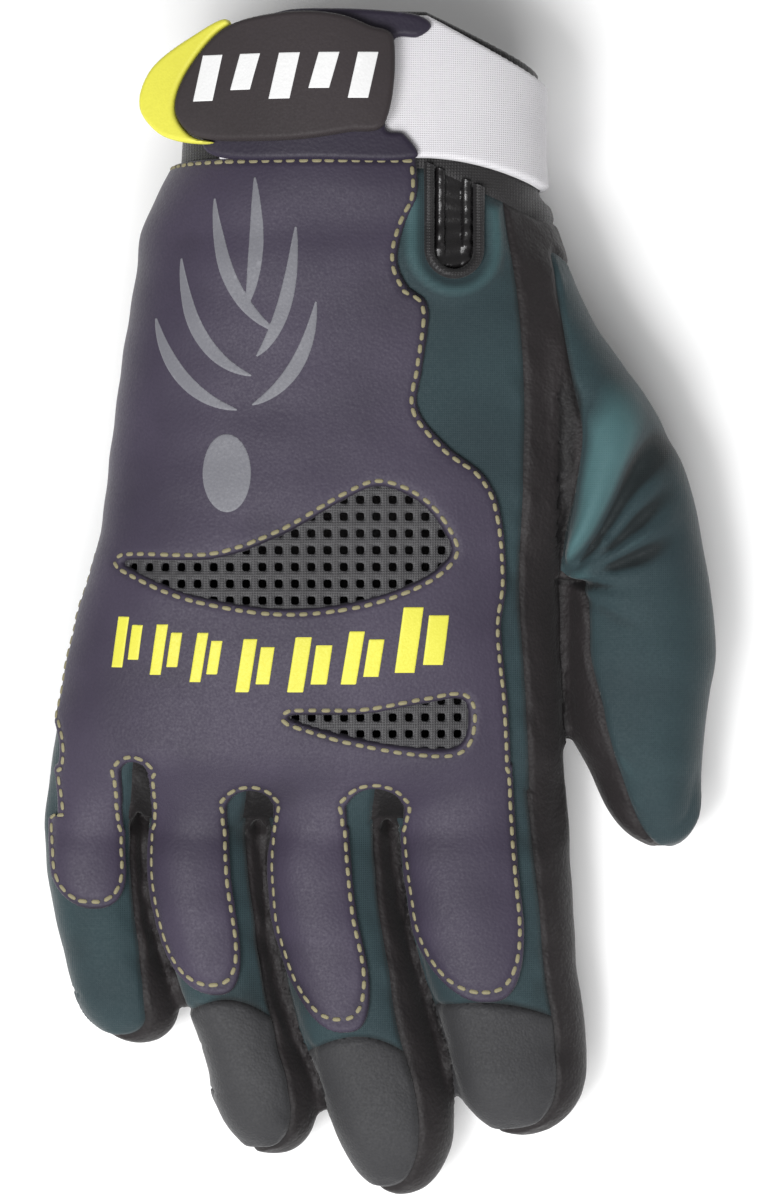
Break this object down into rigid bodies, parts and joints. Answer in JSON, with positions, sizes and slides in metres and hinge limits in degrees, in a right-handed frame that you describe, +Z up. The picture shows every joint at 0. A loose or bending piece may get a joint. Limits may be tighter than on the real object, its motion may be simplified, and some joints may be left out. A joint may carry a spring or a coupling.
{
  "type": "anti vibration glove",
  "caption": "Right-hand work glove with a padded palm, stretch back, stitched back overlay with vents, fingertip caps and a wrist strap with a pull tab.",
  "frame": {"origin": "point on the supporting surface under the palm's flat underside, below the knuckles", "axes": "+X across the hand to the thumb side, +Y from the fingertips to the cuff, +Z up out of the hand back"},
  "size_m": [0.1419, 0.2456, 0.0524],
  "materials": {
    "black_leather": "matt grained synthetic leather",
    "teal_stretch": "fine knitted stretch cloth",
    "purple_leather": "smooth matt synthetic leather",
    "dark_vent": "matt perforated sheet",
    "dark_cap": "matt textured synthetic leather",
    "black_neoprene": "matt knitted face over foam",
    "pale_strap": "tight weave",
    "black_rubber": "matt moulded",
    "yellow_rubber": "satin moulded",
    "stitch_thread": "pale thread",
    "grey_print": "matt flat print"
  },
  "bodies": {
    "root": {"palm_panel": "black_leather", "back_panel": "teal_stretch", "thumb_back": "teal_stretch", "thumb_front": "black_leather", "knuckle_overlay": "purple_leather", "vent_large": "dark_vent", "vent_small": "dark_vent", "cap_index": "dark_cap", "cap_middle": "dark_cap", "cap_ring": "dark_cap", "cuff": "black_neoprene", "slit_binding": "black_leather", "wrist_gusset": "black_neoprene", "wrist_strap": "pale_strap", "tab_base": "purple_leather", "tab_pad": "black_rubber", "tab_pull": "yellow_rubber"}
  },
  "joints": []
}
